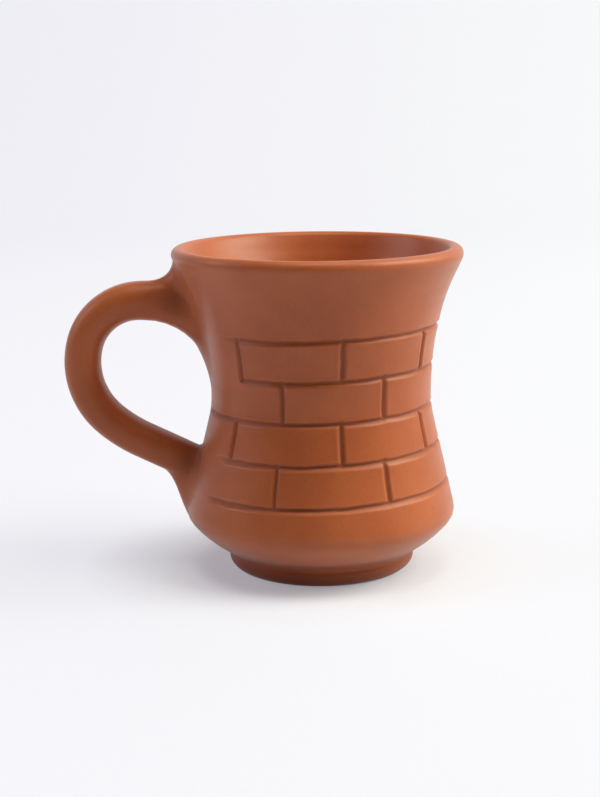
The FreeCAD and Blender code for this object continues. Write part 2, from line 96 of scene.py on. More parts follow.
def outside(height):
    """The radius of the cup's outside at a height above the table."""
    if height > LIP_START:
        return LIP.x + sqrt(max(LIP_ROUND**2 - (height - LIP.y) ** 2, 0.0))
    if height > FLARE_START:
        return drawn_in(height, FLARE, FLARE_ROUND)
    if height > WAIST_HEIGHT:
        return drawn_in(height, UPPER, UPPER_ROUND)
    if height > FLANK_TOP.y:
        return drawn_in(height, LOWER, LOWER_ROUND)
    if height > FLANK_FOOT.y:
        return straight(height, FLANK_FOOT, FLANK_TOP)
    if height > BELLY_START.y:
        return BELLY.x + sqrt(BELLY_ROUND**2 - (height - BELLY.y) ** 2)
    return UNDER.x + sqrt(UNDER_ROUND**2 - (height - UNDER.y) ** 2)


print("waist %.1f mm, rim %.1f mm" % (outside(WAIST_HEIGHT) / MM, RIM_RADIUS / MM))

# %% [markdown]
# Nothing that is thrown by hand is quite true.  The waist of this mug leans a little away
# from its handle and its lip leans back towards it, its belly swells a little under the
# handle, and the rim dips at the front and on the right.  The wall's place is therefore asked
# for by angle as well as by height, and the dip is a soft tilt that only the top of the cup
# feels.  Where the handle meets the wall, finger and thumb left a hollow on each side of it.
# A hollow is kept as its place across, its height and its reach, and it fades with distance.

# %% The hand's small errors
WAIST_LEAN = 0.3 * MM
LEAN_REACH = 22.0 * MM
LIP_LEAN = 0.5 * MM
LIP_LEAN_FROM, LIP_LEAN_TO = 92.0 * MM, 98.0 * MM
RIM_DIP = 0.36 * MM
SIDE_DIP = 0.1 * MM
DIP_FROM = 62.0 * MM
# Each hollow also carries painted shade: the material draws the clay in it darker.
HOLLOWS = [Vector(hollow) * MM for hollow in ((-43.5, 83.0, 6.5), (-39.0, 34.0, 5.5))]
HOLLOW_SIDE = 7.0 * MM
SQUEEZE = 0.24
SQUEEZE_RUN = 3.0 * MM
SWELL = 0.55 * MM
SWELL_HEIGHT, SWELL_REACH = 17.5 * MM, 15.0 * MM
SWELL_ALL_ROUND = 0.35


def soft_step(value, low, high):
    """0 below low, 1 above high, and an even slope between that starts and ends softly."""
    share = min(max((value - low) / (high - low), 0.0), 1.0)
    return share * share * (3 - 2 * share)


def lean(angle, height):
    """How far the wall stands out from the outline on one side of the waist."""
    at_waist = WAIST_LEAN * exp(-(((height - WAIST_HEIGHT) / LEAN_REACH) ** 2))
    at_lip = LIP_LEAN * soft_step(height, LIP_LEAN_FROM, LIP_LEAN_TO)
    at_belly = SWELL * exp(-(((height - SWELL_HEIGHT) / SWELL_REACH) ** 2))
    towards_ear = (1 - cos(angle)) / 2
    swell = SWELL_ALL_ROUND + (1 - SWELL_ALL_ROUND) * towards_ear**2
    return (at_waist - at_lip) * cos(angle) + at_belly * swell


def wall_point(angle, height, out=0.0):
    """A point on the cup's outside, or a little off it."""
    radius = outside(height) + lean(angle, height) + out
    return Vector((radius * cos(angle), radius * sin(angle), height))


def off_wall(point):
    """How far a point is outside the cup's wall, measured level."""
    angle = atan2(point.y, point.x)
    return hypot(point.x, point.y) - outside(point.z) - lean(angle, point.z)


def dipped(point):
    """Where a point goes when the top of the cup tilts towards the front and the right."""
    share = soft_step(point.z, DIP_FROM, CUP_TOP)
    drop = RIM_DIP * (1 - point.y / RIM_RADIUS) + SIDE_DIP * (1 + point.x / RIM_RADIUS)
    return point - Vector((0, 0, drop * share))


def hollow_share(point):
    """How much of a thumb's hollow there is at a point, from 0 to 1."""
    most = 0.0
    for across, height, reach in HOLLOWS:
        off = Vector((point.x - across, abs(point.y) - HOLLOW_SIDE, point.z - height))
        most = max(most, exp(-((off.length / reach) ** 2)))
    return most


def press_hollows(bm):
    """Squeeze the strap a little beside its joints and mark the clay there for painted shade
    and a rougher surface.
    """
    depth = bm.verts.layers.float.new("mortar")
    for vert in bm.verts:
        share = hollow_share(vert.co)
        vert[depth] = share
        vert.co.y *= 1 - SQUEEZE * share * soft_step(off_wall(vert.co), 0, SQUEEZE_RUN)


# %% [markdown]
# A lathe is the natural way to make a thrown wall: half of its section is drawn as a chain
# of edges, and Spin turns the chain about the axis.  The chain is drawn by extruding one
# vertex from point to point.  Carving needs many small faces, so rings are packed close
# together near each mortar line and spaced out elsewhere.  The inside follows the outside
# at the wall's thickness and ends in a round bowl with a flat floor.

# %% The lathe
COURSE_HEIGHTS = [height * MM for height in (75.5, 63.2, 51.0, 39.1, 27.2)]
RING_GAP = 1.5 * MM
FINE_GAP = 0.22 * MM
FINE_STEPS = 9
COLUMNS = 450
UNDER_STEPS = 9
BEAD_START, BEAD_END, BEAD_STEPS = -26, 149, 20
INSIDE_TOP, INSIDE_GAP, INSIDE_RINGS = 93.5 * MM, 2.1 * MM, 31
BOWL, BOWL_ROUND, BOWL_STEPS = Vector((21.2, 24.4)) * MM, 14.0 * MM, 14
BOWL_START = 12


def new_chain(bm, points):
    """A chain of edges through points of (radius, height), drawn on the X side."""
    vert = bm.verts.new((points[0].x, 0, points[0].y))
    for point in points[1:]:
        vert = bmesh.ops.extrude_vert_indiv(bm, verts=[vert])["verts"][0]
        vert.co = (point.x, 0, point.y)


def arc_points(centre, rounding, start, end, steps):
    """Points along an arc, from one angle to another in degrees, both ends included."""
    turns = [radians(start + (end - start) * step / steps) for step in range(steps + 1)]
    return [centre + Vector((cos(turn), sin(turn))) * rounding for turn in turns]


def turn_on_lathe(bm, columns):
    """Spin the chain all the way round and weld its seam and its poles."""
    bmesh.ops.spin(bm, geom=bm.verts[:] + bm.edges[:], cent=(0, 0, 0), axis=(0, 0, 1),
                   angle=2 * pi, steps=columns, use_merge=True)
    bmesh.ops.remove_doubles(bm, verts=bm.verts[:], dist=0.001 * MM)
    bmesh.ops.recalc_face_normals(bm, faces=bm.faces[:])


def ring_heights(low, high):
    """Heights from low to high: evenly spaced, and close together near each course."""
    close = [course + step * FINE_GAP for course in COURSE_HEIGHTS
             for step in range(-FINE_STEPS, FINE_STEPS + 1)]
    count = round((high - low) / RING_GAP)
    even = [low + (high - low) * step / count for step in range(count + 1)]
    reach = (FINE_STEPS + 2) * FINE_GAP
    even = [height for height in even
            if all(abs(height - course) > reach for course in COURSE_HEIGHTS)]
    return sorted(close + even)


def inner_point(height):
    """The inside of the wall, square across the clay from a point outside."""
    slope = (outside(height + MM) - outside(height - MM)) / (2 * MM)
    across = Vector((1, -slope)).normalized() * WALL
    return Vector((outside(height), height)) - across


def cup_section():
    """Half of the cup's section, from the middle of its base to the middle of its floor."""
    base_edge = Vector((BASE_RADIUS, BASE_HEIGHT))
    base = [Vector((0, BASE_HEIGHT)), base_edge]
    rises = [BASE_HEIGHT + (BELLY_START.y - BASE_HEIGHT) * step / UNDER_STEPS
             for step in range(1, UNDER_STEPS)]
    under = [Vector((outside(height), height)) for height in rises]
    heights = ring_heights(BELLY_START.y, LIP_START)
    wall = [Vector((outside(height), height)) for height in heights]
    bead = arc_points(LIP, LIP_ROUND, BEAD_START, BEAD_END, BEAD_STEPS)
    inside = [inner_point(INSIDE_TOP - INSIDE_GAP * ring) for ring in range(INSIDE_RINGS)]
    bowl = arc_points(BOWL, BOWL_ROUND, BOWL_START, -90, BOWL_STEPS)
    floor = [Vector((share * BOWL.x, BOWL.y - BOWL_ROUND)) for share in (0.66, 0.33, 0)]
    return base + under + wall + bead + inside + bowl + floor


cup_bm = bmesh.new()
new_chain(cup_bm, cup_section())
turn_on_lathe(cup_bm, COLUMNS)
print("thrown cup: %d faces" % len(cup_bm.faces))

# %% [markdown]
# The brick courses were drawn into the damp clay with a blunt tool.  Each mortar line has a
# flat bottom, soft shoulders and a rounded end, and where two lines meet they run into each
# other without an edge.  Bevelled edges would cross badly on a curved wall, so the lines are
# pressed in instead: every vertex of the wall sinks by its distance from the nearest lines.
# The tool leans on the lower brick, so the upper side of a course is steep and the lower one
# runs out softly, and the clay that it pushes aside stands up as a low burr on both sides.
# Columns of vertices are first drawn together where a joint will be, which keeps the joints
# crisp without more faces.  A course is level in the plan, but the hand let it climb a
# little to the right, and its ends towards the handle fade out.

# %% Press in the mortar lines
COURSE_GAPS = [35.4, 47.9, 2.0, 29.5, 31.6]
COURSE_FADES = [4.5, 0.6, 4.0, 4.0, 1.6]
ROW_JOINTS = [
    (-132.2, -79.3, -31.2, 23.3, 77.7, 132.2),
    (-108.9, -57.1, -1.8, 53.6, 108.9),
    (-136.9, -80.1, -29.7, 25.8, 81.4, 136.9),
    (-110.3, -59.5, -2.9, 53.7, 110.3),
]
LINE_HALF = 0.62 * MM
LINE_DEPTH = 0.72 * MM
HIGH_SHOULDER, LOW_SHOULDER = 1.35, 0.74
BURR = 0.13 * MM
COURSE_CLIMB = 0.78 * MM
CLIMB_LOW, CLIMB_HIGH = 14.0 * MM, 91.0 * MM
SLOPE_SPAN = 10.0 * MM
LINE_REACH = 4.0 * MM
FADE_LEAD = 0.4 * MM
BURR_PEAK, BURR_NARROW = 31.3, 11
TREMBLE, TREMBLE_SPAN, TREMBLE_STRIDE = 0.22 * MM, 9, 7.3
UNEVEN, UNEVEN_SPAN = 0.3, 9.0 * MM
GROUP_SPAN = 8.0
PULL = 0.6
PULL_REACH = 7.0


def off_angle(first, second):
    """The difference of two angles in degrees, from -180 to 180."""
    return (first - second + 180) % 360 - 180


def joint_groups():
    """The angles at which one row's joints stand close to another's."""
    groups = []
    for joint in sorted(sum(ROW_JOINTS, ())):
        if groups and joint - groups[-1][-1] < GROUP_SPAN:
            groups[-1].append(joint)
        else:
            groups.append([joint])
    return [sum(group) / len(group) for group in groups]


GROUPS = joint_groups()


def drawn_together(turn):
    """An angle in degrees, pulled towards the nearest group of joints."""
    for group in GROUPS:
        off = off_angle(turn, group)
        turn -= PULL * off * exp(-((off / PULL_REACH) ** 2))
    return turn


def line_share(distance):
    """How deep a mortar line is at a distance from its middle, from 1 to 0."""
    return 1 / (1 + (distance / LINE_HALF) ** 4)


def burr_share(share):
    """How high the burr is, from 0 to 1: it peaks where a line has a twelfth of its depth."""
    return BURR_PEAK * share * (1 - share) ** BURR_NARROW


def tremble(turn, seed):
    """The hand's slow shake along a line."""
    return noise.noise(Vector((turn / TREMBLE_SPAN, seed * TREMBLE_STRIDE, 0.4))) * TREMBLE


def mortar(turn, height, radius):
    """The lines' share of their full depth, and the burr's share, at a place on the wall."""
    left, raised = 1.0, 0.0
    beyond = off_angle(turn, 180)
    for number, course in enumerate(COURSE_HEIGHTS):
        gap, fade = COURSE_GAPS[number], COURSE_FADES[number] * MM
        rise = height - course - tremble(turn, number)
        rise *= HIGH_SHOULDER if rise > 0 else LOW_SHOULDER
        if abs(rise) < LINE_REACH:
            past_end = (gap - abs(beyond)) * radians(1) * radius
            share = line_share(hypot(rise, max(past_end, 0)))
            strength = soft_step(-past_end, -FADE_LEAD, 2 * fade)
            left *= 1 - share * strength
            raised = max(raised, burr_share(share) * strength)
    for number, joints in enumerate(ROW_JOINTS):
        top, bottom = COURSE_HEIGHTS[number], COURSE_HEIGHTS[number + 1]
        outside_row = max(height - top, bottom - height, 0)
        if outside_row < LINE_REACH:
            for joint in joints:
                across = off_angle(turn, joint) * radians(1) * radius
                across += tremble(height / MM * 3, number + joint)
                if abs(across) < LINE_REACH:
                    share = line_share(hypot(across, outside_row))
                    left *= 1 - share
                    raised = max(raised, burr_share(share))
    return 1 - left, raised * left


def press_lines(bm):
    """Gather the columns, let the courses climb and sink the mortar lines."""
    depth = bm.verts.layers.float.new("mortar")
    for vert in bm.verts:
        radius = hypot(vert.co.x, vert.co.y)
        if radius < MM:
            continue
        turn = drawn_together(degrees(atan2(vert.co.y, vert.co.x)))
        angle = radians(turn)
        height = vert.co.z
        if BELLY_START.y < height < LIP_START and radius > outside(height) - MM:
            band = soft_step(height, CLIMB_LOW, CLIMB_LOW + SLOPE_SPAN)
            band -= soft_step(height, CLIMB_HIGH - SLOPE_SPAN, CLIMB_HIGH)
            share, burr = mortar(turn, height, radius)
            height += COURSE_CLIMB * band * cos(angle)
            uneven = 1 + UNEVEN * noise.noise(vert.co / UNEVEN_SPAN)
            radius = outside(height) - (share * LINE_DEPTH - burr * BURR) * uneven
            # The pressed share is kept on the vertex; the material paints shade in the lines
            # from it.
            vert[depth] = share
        radius += lean(angle, height)
        vert.co = dipped(Vector((radius * cos(angle), radius * sin(angle), height)))
        # The hollows' share is kept too, for painted shade beside the handle's joints.
        vert[depth] = max(vert[depth], hollow_share(vert.co))


press_lines(cup_bm)
print("joints gathered at", [round(group, 1) for group in GROUPS])

# %% [markdown]
# The foot ring was turned from its own coil of clay.  It is widest a little above the table,
# drawn in under the belly, and its lower edge is rolled so that it doesn't chip.  It is the
# same kind of job as the cup: a short section and the lathe.  The slip that holds it on is
# a thin layer that squeezed out and was wiped to a cove, and it is turned in the same way.

# %% Turn the foot ring and its slip
FOOT_COLUMNS = 180
FOOT_BORE = 21.0 * MM
FOOT_WIDEST = Vector((28.7, 3.7)) * MM
FOOT_NECK = Vector((28.2, 5.4)) * MM
NECK_SWELL = Vector((0.12, 0)) * MM
HEEL_ROUND = 3.7 * MM
TREAD_EDGE, TREAD_ROUND = Vector((22.5, 1.5)) * MM, 1.5 * MM
COVE_RISE = 2.4 * MM
COVE_KNEE = FOOT_NECK + Vector((0.15, 0.55)) * MM
COVE_SHARES = (0, 0.14, 0.28, 0.42, 0.56, 0.7, 0.84, 1)
SEAM_TOP = Vector((27.4 * MM, BASE_HEIGHT + 0.3 * MM))
SEAM_FOOT = Vector((27.0, 4.6)) * MM


def foot_section():
    """The ring's closed section, from its seat round its outside to its bore."""
    neck = [FOOT_NECK, FOOT_WIDEST.lerp(FOOT_NECK, 0.5) + NECK_SWELL]
    heel = arc_points(FOOT_WIDEST - Vector((HEEL_ROUND, 0)), HEEL_ROUND, 0, -90, 12)
    edge = arc_points(TREAD_EDGE, TREAD_ROUND, 270, 180, 6)
    return neck + heel + edge + [Vector((FOOT_BORE, FOOT_NECK.y))]


def cove_section():
    """The slip's closed section: a cove outside and a flat layer on the ring."""
    low = FOOT_WIDEST.lerp(FOOT_NECK, 0.45)
    top = Vector((outside(BASE_HEIGHT + COVE_RISE) - 0.05 * MM, BASE_HEIGHT + COVE_RISE))
    cove = [low.lerp(COVE_KNEE, share).lerp(COVE_KNEE.lerp(top, share), share)
            for share in COVE_SHARES]
    return cove + [SEAM_TOP, SEAM_FOOT]


def turned_ring(section):
    """A closed section turned all the way round."""
    bm = bmesh.new()
    new_chain(bm, section + section[:1])
    turn_on_lathe(bm, FOOT_COLUMNS)
    return bm


foot_bm = turned_ring(foot_section())
seam_bm = turned_ring(cove_section())
print("foot ring: %d faces, its slip: %d" % (len(foot_bm.faces), len(seam_bm.faces)))

# %% [markdown]
# The handle was pulled: a wet strap drawn through the hand until it was round-sided and
# even, bent to an ear and pressed on.  Its upper end is left thick, so the butt grows
# downwards as it nears the wall.  A curve with a bevel would give one even section, so the
# strap is grown instead, ring by ring, by extruding a loop of vertices.  The stations are
# laid out first: where each ring's middle is, which way the strap runs there, and how
# thick and wide it is.

# %% Lay out the ear
RING_POINTS = 64
HANDLE_RISE = 82.85 * MM
HANDLE_START = 53.3 * MM
HALF_THICK = 5.95 * MM
HALF_SLIM = 5.42 * MM
HALF_WIDE = 6.6 * MM
SQUARENESS = 0.05
BUTT_ROUND = 20.0 * MM
BUTT_TURNS = (20, 28, 36, 44, 52, 60, 70, 80)
BUTT_SPREAD = 2.0 * MM
BUTT_WIDEN = 1.2 * MM
SUNK_IN, SUNK_MORE = 4.0 * MM, 1.6 * MM
EAR_ARCS = ((18.0, 73.0, 16), (23.0, 66.0, 15), (44.5, 15.5, 7))
EAR_STUB = 1.1 * MM
EAR_TAPER = 0.07
ARM_RUN = 21.0 * MM
ARM_STEPS = 16


def station(across, height, heading, half_thick=HALF_THICK, half_wide=HALF_WIDE):
    """One ring of the strap: its place, the way it runs, and its section."""
    return {"middle": Vector((across, 0, height)), "heading": heading,
            "half_thick": half_thick, "half_wide": half_wide}


def butt_stations():
    """From inside the wall out to the strap, with the underside on one round curve."""
    made = []
    top = HANDLE_RISE + HALF_THICK
    centre = Vector((-HANDLE_START, HANDLE_RISE - HALF_THICK - BUTT_ROUND))
    for turn in BUTT_TURNS:
        spread = ((90 - turn) / (90 - BUTT_TURNS[0])) ** 2
        across = centre.x + BUTT_ROUND * cos(radians(turn))
        under = centre.y + BUTT_ROUND * sin(radians(turn))
        over = top + BUTT_SPREAD * spread
        made.append(station(across, (over + under) / 2, pi, (over - under) / 2,
                            HALF_WIDE + BUTT_WIDEN * spread))
    deepest = made[0]
    sunk = station(deepest["middle"].x + SUNK_IN, deepest["middle"].z - SUNK_MORE, pi,
                   deepest["half_thick"] + SUNK_MORE, deepest["half_wide"])
    return [sunk] + made


def ear_stations():
    """Round the ear: a short stub, three arcs, and a straight arm back to the wall."""
    made = []
    thick = HALF_THICK
    here = Vector((-HANDLE_START, HANDLE_RISE))
    made.append(station(here.x, here.y, pi))
    here.x -= EAR_STUB
    heading = pi
    for rounding, turn, steps in EAR_ARCS:
        centre = here + Vector((-sin(heading), cos(heading))) * rounding * MM
        for step in range(steps):
            now = heading + radians(turn) * step / steps
            place = centre + Vector((sin(now), -cos(now))) * rounding * MM
            thick += (HALF_SLIM - thick) * EAR_TAPER
            made.append(station(place.x, place.y, now, thick))
        heading += radians(turn)
        here = centre + Vector((sin(heading), -cos(heading))) * rounding * MM
    for step in range(ARM_STEPS + 1):
        place = here + Vector((cos(heading), sin(heading))) * ARM_RUN * step / ARM_STEPS
        made.append(station(place.x, place.y, heading, thick))
    return made


def ring_places(at):
    """The points of one ring; the first is on the outside of the ear."""
    places = []
    outward = Vector((sin(at["heading"]), 0, -cos(at["heading"])))
    for step in range(RING_POINTS):
        turn = 2 * pi * step / RING_POINTS
        fullness = 1 + SQUARENESS * sin(2 * turn) ** 2
        thick = outward * at["half_thick"] * cos(turn)
        wide = Vector((0, -at["half_wide"] * sin(turn), 0))
        places.append(at["middle"] + (thick + wide) * fullness)
    return places


STATIONS = butt_stations() + ear_stations()
HANDLE_RINGS = [ring_places(at) for at in STATIONS]
LOWER_END = STATIONS[-1]["middle"]
print("handle: %d rings, lower end %.1f mm up" % (len(STATIONS), LOWER_END.z / MM))

# %% [markdown]
# Both ends of the strap are pressed against a wall that curves two ways.  Each line of
# points that runs along the strap is followed to where it meets the wall, which gives the
# true shape of the seat.  The strap stops a little way inside the wall, as pressed clay
# does, and whatever lies deeper is drawn back to that point and welded.  Last, finger and
# thumb squeeze the strap a little beside both joints.

# %% Seat the ear on the wall
SEAT_DEPTH = 1.2 * MM
END_RINGS = 40
HALVINGS = 20


def meeting(line):
    """Where a line of points from inside the wall comes out of it: its index and the place."""
    for index in range(1, len(line)):
        if off_wall(line[index]) > 0:
            inside, out = line[index - 1], line[index]
            for _ in range(HALVINGS):
                middle = (inside + out) / 2
                if off_wall(middle) > 0:
                    out = middle
                else:
                    inside = middle
            return index, out
    raise ValueError("this line never leaves the wall")


def along(line, index, point, distance):
    """The place a distance further out along a line, from a point before line[index]."""
    while distance > (line[index] - point).length:
        distance -= (line[index] - point).length
        point = line[index]
        index += 1
    return point + (line[index] - point).normalized() * distance


def end_lines(rings):
    """The lines that run along the strap from one end, one for each point of a ring."""
    return [[ring[step] for ring in rings] for step in range(RING_POINTS)]


UPPER_LINES = end_lines(HANDLE_RINGS[:END_RINGS])
LOWER_LINES = end_lines(HANDLE_RINGS[:-END_RINGS:-1])


def draw_back(lines):
    """Pull what is deeper than the seat back along each line."""
    for line in lines:
        index, place = meeting(line)
        seat = place + (line[index - 1] - line[index]).normalized() * SEAT_DEPTH
        for point in line[:index]:
            if off_wall(point) < off_wall(seat):
                point.xyz = seat


def grow_loop(bm, loop, places):
    """Extrude a closed loop of vertices to new places and return the new loop."""
    edges = [bm.edges.get((loop[step - 1], loop[step])) for step in range(len(loop))]
    made = bmesh.ops.extrude_edge_only(bm, edges=edges)["geom"]
    fresh = {vert for vert in made if isinstance(vert, bmesh.types.BMVert)}
    grown = []
    for vert, place in zip(loop, places):
        new = next(edge.other_vert(vert) for edge in vert.link_edges
                   if edge.other_vert(vert) in fresh)
        new.co = place
        grown.append(new)
    return grown


def new_loop(bm, places):
    """A ring of vertices at the given places."""
    loop = bmesh.ops.create_circle(bm, segments=len(places), radius=MM)["verts"]
    for vert, place in zip(loop, places):
        vert.co = place
    return loop


UPPER_MEETINGS = [meeting(line) for line in UPPER_LINES]
LOWER_MEETINGS = [meeting(line) for line in LOWER_LINES]
draw_back(UPPER_LINES)
draw_back(LOWER_LINES)
handle_bm = bmesh.new()
loop = new_loop(handle_bm, HANDLE_RINGS[0])
bmesh.ops.contextual_create(handle_bm, geom=loop)
for places in HANDLE_RINGS[1:]:
    loop = grow_loop(handle_bm, loop, places)
bmesh.ops.contextual_create(handle_bm, geom=loop)
bmesh.ops.remove_doubles(handle_bm, verts=handle_bm.verts[:], dist=0.01 * MM)
bmesh.ops.recalc_face_normals(handle_bm, faces=handle_bm.faces[:])
press_hollows(handle_bm)
print("handle: %d faces" % len(handle_bm.faces))

# %% [markdown]
# Slip is wiped into the corner all round each end until handle and wall flow together.  On
# this mug it is generous: it fills the corner under the lip, and below the lower end it runs
# down the belly as a tail.  A fillet of one radius would look machined, so the fillet is
# swept from curves, one for each line of the strap.  Each curve leaves along the strap and
# arrives along the wall, and how far it reaches depends on the side of the handle: the
# lengths below are for its outer face, its sides and its inner face.  The hollows beside the
# joints run on over the slip.

# %% Wipe on the slip
CURVE_STEPS = 14
SLIP_CORE = 0.9 * MM
CORE_SHARE = 0.06
BACK_STEP = 0.3 * MM
UPPER_SLIP = {"strap": (11.5, 3.0, 8.0), "wall": (6.8, 3.2, 8.0), "full": (2.0, 0.0, 0.0)}
LOWER_SLIP = {"strap": (11.0, 2.2, 1.4), "wall": (13.0, 2.0, 1.4), "full": (0.25, 0.0, 0.0)}
STRAP_PULL, WALL_PULL = 0.5, 0.52


def by_side(reaches, step):
    """A length for one line: outer, side and inner values, blended round the ring."""
    outer, side, inner = reaches
    facing = cos(2 * pi * step / RING_POINTS)
    far = outer if facing > 0 else inner
    return (side + (far - side) * facing**2) * MM


def unrolled(point):
    """A point of the wall as (distance round, height), measured from the handle's side."""
    return Vector((atan2(point.y, -point.x) * outside(point.z), point.z))


def rolled(flat, out=0.0):
    """The wall's point for an unrolled place."""
    return dipped(wall_point(pi - flat.x / outside(flat.y), flat.y, out))


def slip_curve(on_strap, corner, foot, away, fuller):
    """One line of the fillet: it leaves along the strap and arrives along the wall."""
    on_wall = rolled(foot)
    outward = (rolled(foot, MM) - on_wall).normalized()
    back = (rolled(foot - away * BACK_STEP) - on_wall).normalized()
    first = on_strap.lerp(corner, STRAP_PULL)
    second = on_wall + back * (corner - on_wall).length * WALL_PULL + outward * fuller
    points = []
    for number in range(CURVE_STEPS + 1):
        share = number / CURVE_STEPS
        rest = 1 - share
        points.append(on_strap * rest**3 + first * 3 * rest**2 * share
                      + second * 3 * rest * share**2 + on_wall * share**3)
    return points, outward


def slip_curves(lines, meetings, sizes):
    """Loops of points that carry the slip from the strap down to the wall."""
    flat = [unrolled(place) for _, place in meetings]
    middle = sum(flat, Vector((0, 0))) / len(flat)
    loops = [[] for _ in range(CURVE_STEPS + 2)]
    for step, (line, (index, corner)) in enumerate(zip(lines, meetings)):
        run = flat[(step + 1) % len(flat)] - flat[step - 1]
        away = Vector((run.y, -run.x)).normalized()
        if away.dot(flat[step] - middle) < 0:
            away.negate()
        on_strap = along(line, index, corner, by_side(sizes["strap"], step))
        foot = flat[step] + away * by_side(sizes["wall"], step)
        fuller = by_side(sizes["full"], step)
        points, outward = slip_curve(on_strap, corner, foot, away, fuller)
        for loop, point in zip(loops, points):
            loop.append(point)
        core = corner - outward * SLIP_CORE
        loops[-1].append(core.lerp(rolled(middle), CORE_SHARE))
    return loops


def wiped_slip(lines, meetings, sizes):
    """A closed fillet of slip round one end of the handle."""
    loops = slip_curves(lines, meetings, sizes)
    bm = bmesh.new()
    first = new_loop(bm, loops[0])
    loop = first
    for places in loops[1:]:
        loop = grow_loop(bm, loop, places)
    rims = [edge for edge in bm.edges if edge.is_boundary]
    bmesh.ops.bridge_loops(bm, edges=rims)
    bmesh.ops.recalc_face_normals(bm, faces=bm.faces[:])
    press_hollows(bm)
    return bm


upper_bm = wiped_slip(UPPER_LINES, UPPER_MEETINGS, UPPER_SLIP)
lower_bm = wiped_slip(LOWER_LINES, LOWER_MEETINGS, LOWER_SLIP)
print("slip: %d and %d faces" % (len(upper_bm.faces), len(lower_bm.faces)))

# %% [markdown]
# Fired clay has no single colour.  Iron and fine grog give it a soft mottle a centimetre or
# so across, a grain like that of fine sandpaper, and a few specks, and the throwing rings
# stay faintly in its sheen.  All of this is one node group, so that the cup, the handle and
# the slip are visibly the same clay, and each material only says how worn, rough or dark
# its own part is.  The group reads places on the object itself, which lets the pattern run
# on from one piece to the next.  The scales below are in cells per metre.

# %% The clay's own pattern
MOTTLE_SCALE, CLOUD_SCALE, GRAIN_SCALE, SPECK_SCALE = 60, 18, 2100, 330
RING_SCALE, RING_STRETCH = 34, (1, 1, 16)
MOTTLE_PART, CLOUD_PART = 0.55, 0.45
SPECK_SHADE, SPECK_PART = (0.10, 0.035, 0.018, 1), 0.4
# Painted shade for the deep core of the pressed lines and hollows, and how much of it.
GROOVE_PAINTED_SHADE, GROOVE_SHADE_PART = (0.13, 0.030, 0.010, 1), 0.45
BURNISH_GAIN, MORTAR_LOSS = 0.16, 0.12
GRAIN_HEIGHT, RING_HEIGHT, SPECK_HEIGHT = 0.35, 0.5, 0.3


def add_node(tree, kind, inputs=None, **settings):
    """Add a node, set its options, and fill or link its inputs."""
    made = tree.nodes.new(kind)
    for name, value in settings.items():
        setattr(made, name, value)
    for name, value in (inputs or {}).items():
        if isinstance(value, bpy.types.NodeSocket):
            tree.links.new(value, made.inputs[name])
        else:
            made.inputs[name].default_value = value
    return made


def mix_colours(tree, share, first, second, way="MIX"):
    """Mix two colours; each of the three may be a value or a socket."""
    made = add_node(tree, "ShaderNodeMix", {0: share, 6: first, 7: second},
                    data_type="RGBA", blend_type=way)
    return made.outputs[2]


def remap(tree, value, low, high, new_low=0.0, new_high=1.0):
    """Stretch a value from one range to another, and clamp it."""
    made = add_node(tree, "ShaderNodeMapRange",
                    {0: value, 1: low, 2: high, 3: new_low, 4: new_high})
    return made.outputs[0]


def scaled_noise(tree, place, scale, detail=2.0):
    """Noise of a scale in cells per metre."""
    made = add_node(tree, "ShaderNodeTexNoise",
                    {"Vector": place, "Scale": scale, "Detail": detail})
    return made.outputs[0]


def calculate(tree, way, first, second):
    """A sum on two values or sockets."""
    return add_node(tree, "ShaderNodeMath", {0: first, 1: second}, operation=way).outputs[0]


def times(tree, value, factor):
    """A value or socket times another."""
    return calculate(tree, "MULTIPLY", value, factor)


def colour_of(tree, values):
    """A colour from three values or sockets."""
    return add_node(tree, "ShaderNodeCombineColor", dict(enumerate(values))).outputs[0]


